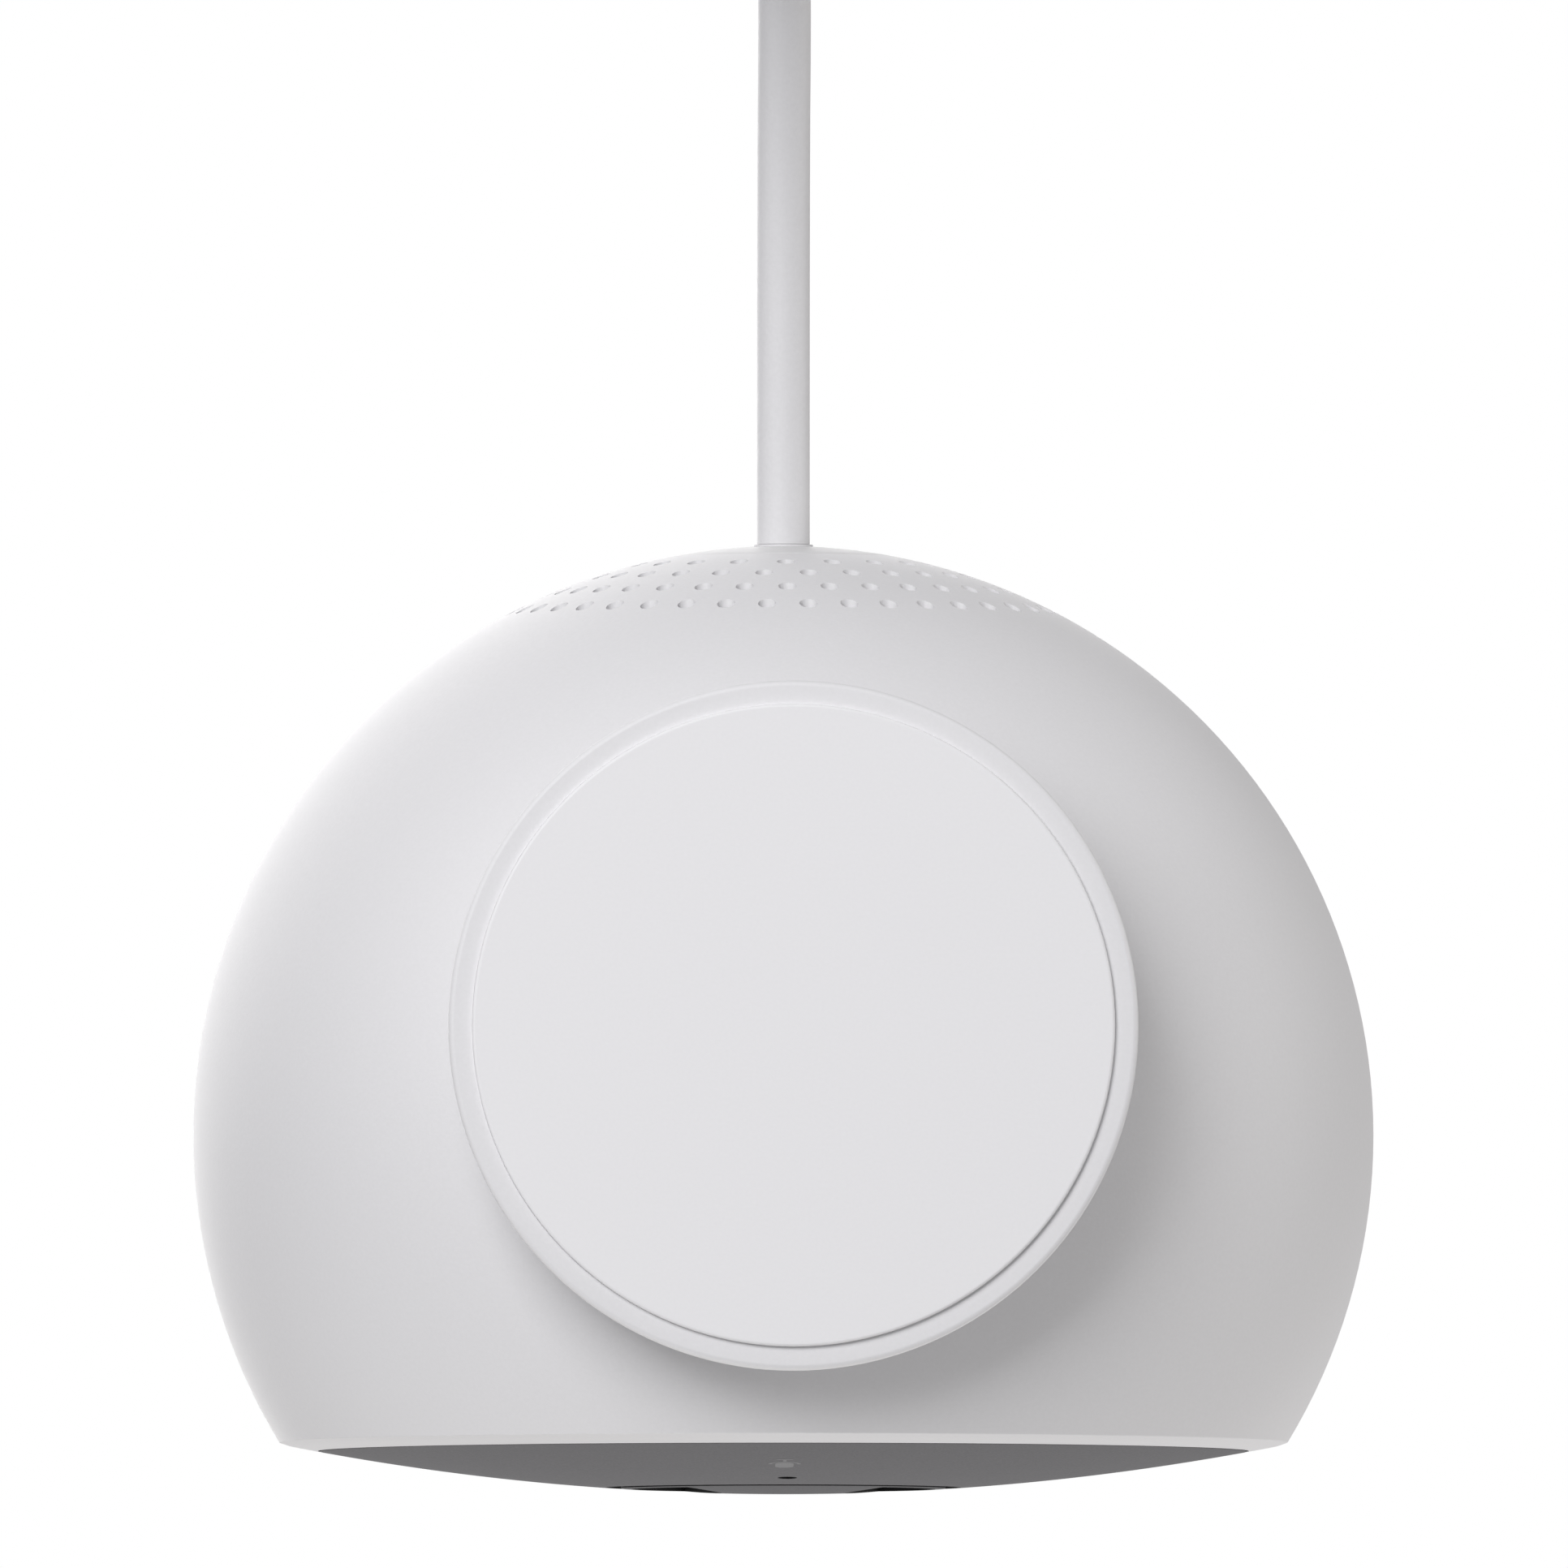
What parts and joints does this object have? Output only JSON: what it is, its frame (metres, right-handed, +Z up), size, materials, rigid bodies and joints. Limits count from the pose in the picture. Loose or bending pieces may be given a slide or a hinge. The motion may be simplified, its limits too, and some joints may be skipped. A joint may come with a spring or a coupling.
{
  "type": "smart display",
  "caption": "Ball-shaped table-top smart display on a disc foot, with a domed round face, centre dial and button, rear sound holes and a coiled power cord.",
  "frame": {"origin": "centre of the foot pad's underside, on the surface that the display stands on", "axes": "+Z up, -Y out of the round face, +Y out of the rear where the cord leaves, +X to the display's own left as seen from behind"},
  "size_m": [0.1152, 0.2292, 0.1079],
  "materials": {
    "shell_white": "fine moulded satin",
    "cap_white": "fine moulded satin",
    "pad_white": "smooth matte silicone",
    "cord_white": "matte cable jacket",
    "face_grey": "matte etched face",
    "dial_grey": "satin",
    "black": "satin black",
    "rubber": "matte",
    "inner_grey": "moulded matte",
    "diffuser": "opal",
    "panel": "polished",
    "board_green": "solder mask",
    "tin": "tin plated",
    "aluminium": "brushed",
    "brass": "turned",
    "steel": "satin",
    "ferrite": "sintered",
    "cone_paper": "coated paper",
    "copper": "enamelled winding",
    "cloth": "acoustic cloth",
    "ribbon": "polyimide film"
  },
  "bodies": {
    "body": {"main_shell": "shell_white", "rear_cap": "cap_white", "cord_grommet": "cord_white", "cord_bracket": "inner_grey", "grille_cloth": "cloth", "speaker_baffle": "inner_grey", "speaker_gasket": "rubber", "speaker_basket": "steel", "speaker_magnet": "ferrite", "speaker_surround": "rubber", "power_board": "board_green", "power_inductor": "ferrite", "power_lead": "black", "chassis": "inner_grey", "main_board": "board_green", "board_screw_1": "steel", "board_screw_2": "steel", "board_screw_3": "steel", "board_screw_4": "steel", "processor_shield": "tin", "heat_spreader": "aluminium", "wireless_module": "tin", "press_switch": "black", "display_diffuser": "diffuser", "display_panel": "panel", "display_frame": "black", "front_gasket": "rubber", "display_ribbon": "ribbon", "front_cover": "face_grey", "mic_board": "board_green", "mic_duct_boot": "rubber", "dial_seat": "black", "dial_bush": "brass", "rotary_encoder": "black", "foot_base": "shell_white", "foot_pad": "pad_white", "foot_screw_1": "steel", "foot_screw_2": "steel", "foot_screw_3": "steel", "ballast_weight": "steel", "cord": "cord_white", "cord_tail": "cord_white", "cord_coil": "cord_white", "cord_tie": "rubber", "adapter_case": "cord_white", "adapter_relief": "cord_white", "adapter_blade_left": "brass", "adapter_blade_right": "brass"},
    "dial": {"dial_knob": "dial_grey", "dial_backing": "black", "dial_shaft": "steel", "dial_clip": "steel", "button_spring": "steel"},
    "button": {"dial_button": "dial_grey"},
    "cone": {"speaker_cone": "cone_paper", "voice_coil": "copper", "dust_cap": "cone_paper"}
  },
  "joints": [
    {"name": "dial_turn", "type": "hinge", "parent": "body", "child": "dial", "pos_m": [0, -0.0399, 0.056], "axis": [0, -1, 0], "continuous": true},
    {"name": "button_press", "type": "slide", "parent": "dial", "child": "button", "axis": [0, 1, 0], "range_m": [0, 0.0006], "stiffness_N_per_m": 2000, "springref_m": -0.0001, "deforming": ["button_spring"]},
    {"name": "cone_travel", "type": "slide", "parent": "body", "child": "cone", "axis": [0, 1, 0], "range_m": [-0.0008, 0.0008], "stiffness_N_per_m": 700, "deforming": ["speaker_surround"]}
  ]
}
